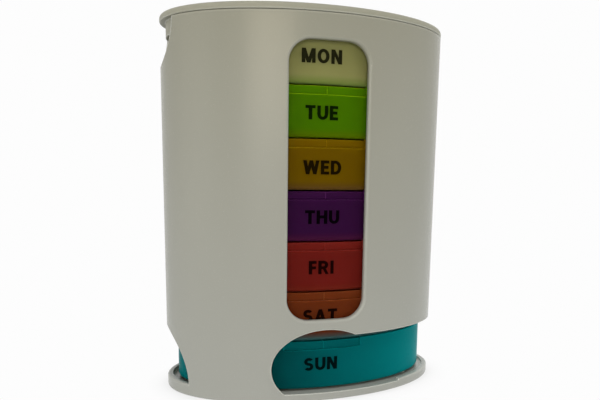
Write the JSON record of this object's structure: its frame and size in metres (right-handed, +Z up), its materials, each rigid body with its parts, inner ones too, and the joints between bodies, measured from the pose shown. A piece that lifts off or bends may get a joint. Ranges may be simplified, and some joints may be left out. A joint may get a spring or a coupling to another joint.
{
  "type": "pill organizer",
  "caption": "Oval upright pill dispenser: day trays with flap-lidded compartments stack behind a tall window, and the lowest one slides out at the foot.",
  "frame": {"origin": "centre of the base on the surface it stands on", "axes": "+Z up, -Y to the window, +X to the end where the lowest tray comes out"},
  "size_m": [0.124, 0.0718, 0.1556],
  "materials": {
    "case_plastic": "fine-grained warm grey moulding",
    "monday_plastic": "smooth tinted translucent moulding",
    "tuesday_plastic": "smooth tinted translucent moulding",
    "wednesday_plastic": "smooth tinted translucent moulding",
    "thursday_plastic": "smooth tinted translucent moulding",
    "friday_plastic": "smooth tinted translucent moulding",
    "saturday_plastic": "smooth tinted translucent moulding",
    "sunday_plastic": "smooth tinted translucent moulding"
  },
  "bodies": {
    "case": {"case_body": "case_plastic"},
    "cover": {"cover": "case_plastic"},
    "tray_stack": {"monday_tray": "monday_plastic", "tuesday_tray": "tuesday_plastic", "tuesday_morning_lid": "tuesday_plastic", "tuesday_noon_lid": "tuesday_plastic", "tuesday_evening_lid": "tuesday_plastic", "tuesday_night_lid": "tuesday_plastic", "wednesday_tray": "wednesday_plastic", "wednesday_morning_lid": "wednesday_plastic", "wednesday_noon_lid": "wednesday_plastic", "wednesday_evening_lid": "wednesday_plastic", "wednesday_night_lid": "wednesday_plastic", "thursday_tray": "thursday_plastic", "thursday_morning_lid": "thursday_plastic", "thursday_noon_lid": "thursday_plastic", "thursday_evening_lid": "thursday_plastic", "thursday_night_lid": "thursday_plastic", "friday_tray": "friday_plastic", "friday_morning_lid": "friday_plastic", "friday_noon_lid": "friday_plastic", "friday_evening_lid": "friday_plastic", "friday_night_lid": "friday_plastic", "saturday_tray": "saturday_plastic", "saturday_morning_lid": "saturday_plastic", "saturday_noon_lid": "saturday_plastic", "saturday_evening_lid": "saturday_plastic", "saturday_night_lid": "saturday_plastic"},
    "sunday_drawer": {"sunday_tray": "sunday_plastic", "sunday_morning_lid": "sunday_plastic", "sunday_noon_lid": "sunday_plastic", "sunday_evening_lid": "sunday_plastic", "sunday_night_lid": "sunday_plastic"},
    "monday_morning_flap": {"monday_morning_lid": "monday_plastic"},
    "monday_noon_flap": {"monday_noon_lid": "monday_plastic"},
    "monday_evening_flap": {"monday_evening_lid": "monday_plastic"},
    "monday_night_flap": {"monday_night_lid": "monday_plastic"}
  },
  "joints": [
    {"name": "cover_lift", "type": "slide", "parent": "case", "child": "cover", "axis": [0, 0, 1], "range_m": [0, 0.06]},
    {"name": "stack_lift", "type": "slide", "parent": "case", "child": "tray_stack", "axis": [0, 0, 1], "range_m": [0, 0.0035]},
    {"name": "sunday_pull", "type": "slide", "parent": "case", "child": "sunday_drawer", "axis": [1, 0, 0], "range_m": [0, 0.125]},
    {"name": "monday_morning_hinge", "type": "hinge", "parent": "tray_stack", "child": "monday_morning_flap", "pos_m": [-0.028, 0.0216, 0.14485], "axis": [-1, 0, 0], "range_deg": [0, 6]},
    {"name": "monday_noon_hinge", "type": "hinge", "parent": "tray_stack", "child": "monday_noon_flap", "pos_m": [-0.01075, 0.0216, 0.14485], "axis": [-1, 0, 0], "range_deg": [0, 6]},
    {"name": "monday_evening_hinge", "type": "hinge", "parent": "tray_stack", "child": "monday_evening_flap", "pos_m": [0.01075, 0.0216, 0.14485], "axis": [-1, 0, 0], "range_deg": [0, 6]},
    {"name": "monday_night_hinge", "type": "hinge", "parent": "tray_stack", "child": "monday_night_flap", "pos_m": [0.028, 0.0216, 0.14485], "axis": [-1, 0, 0], "range_deg": [0, 6]}
  ]
}
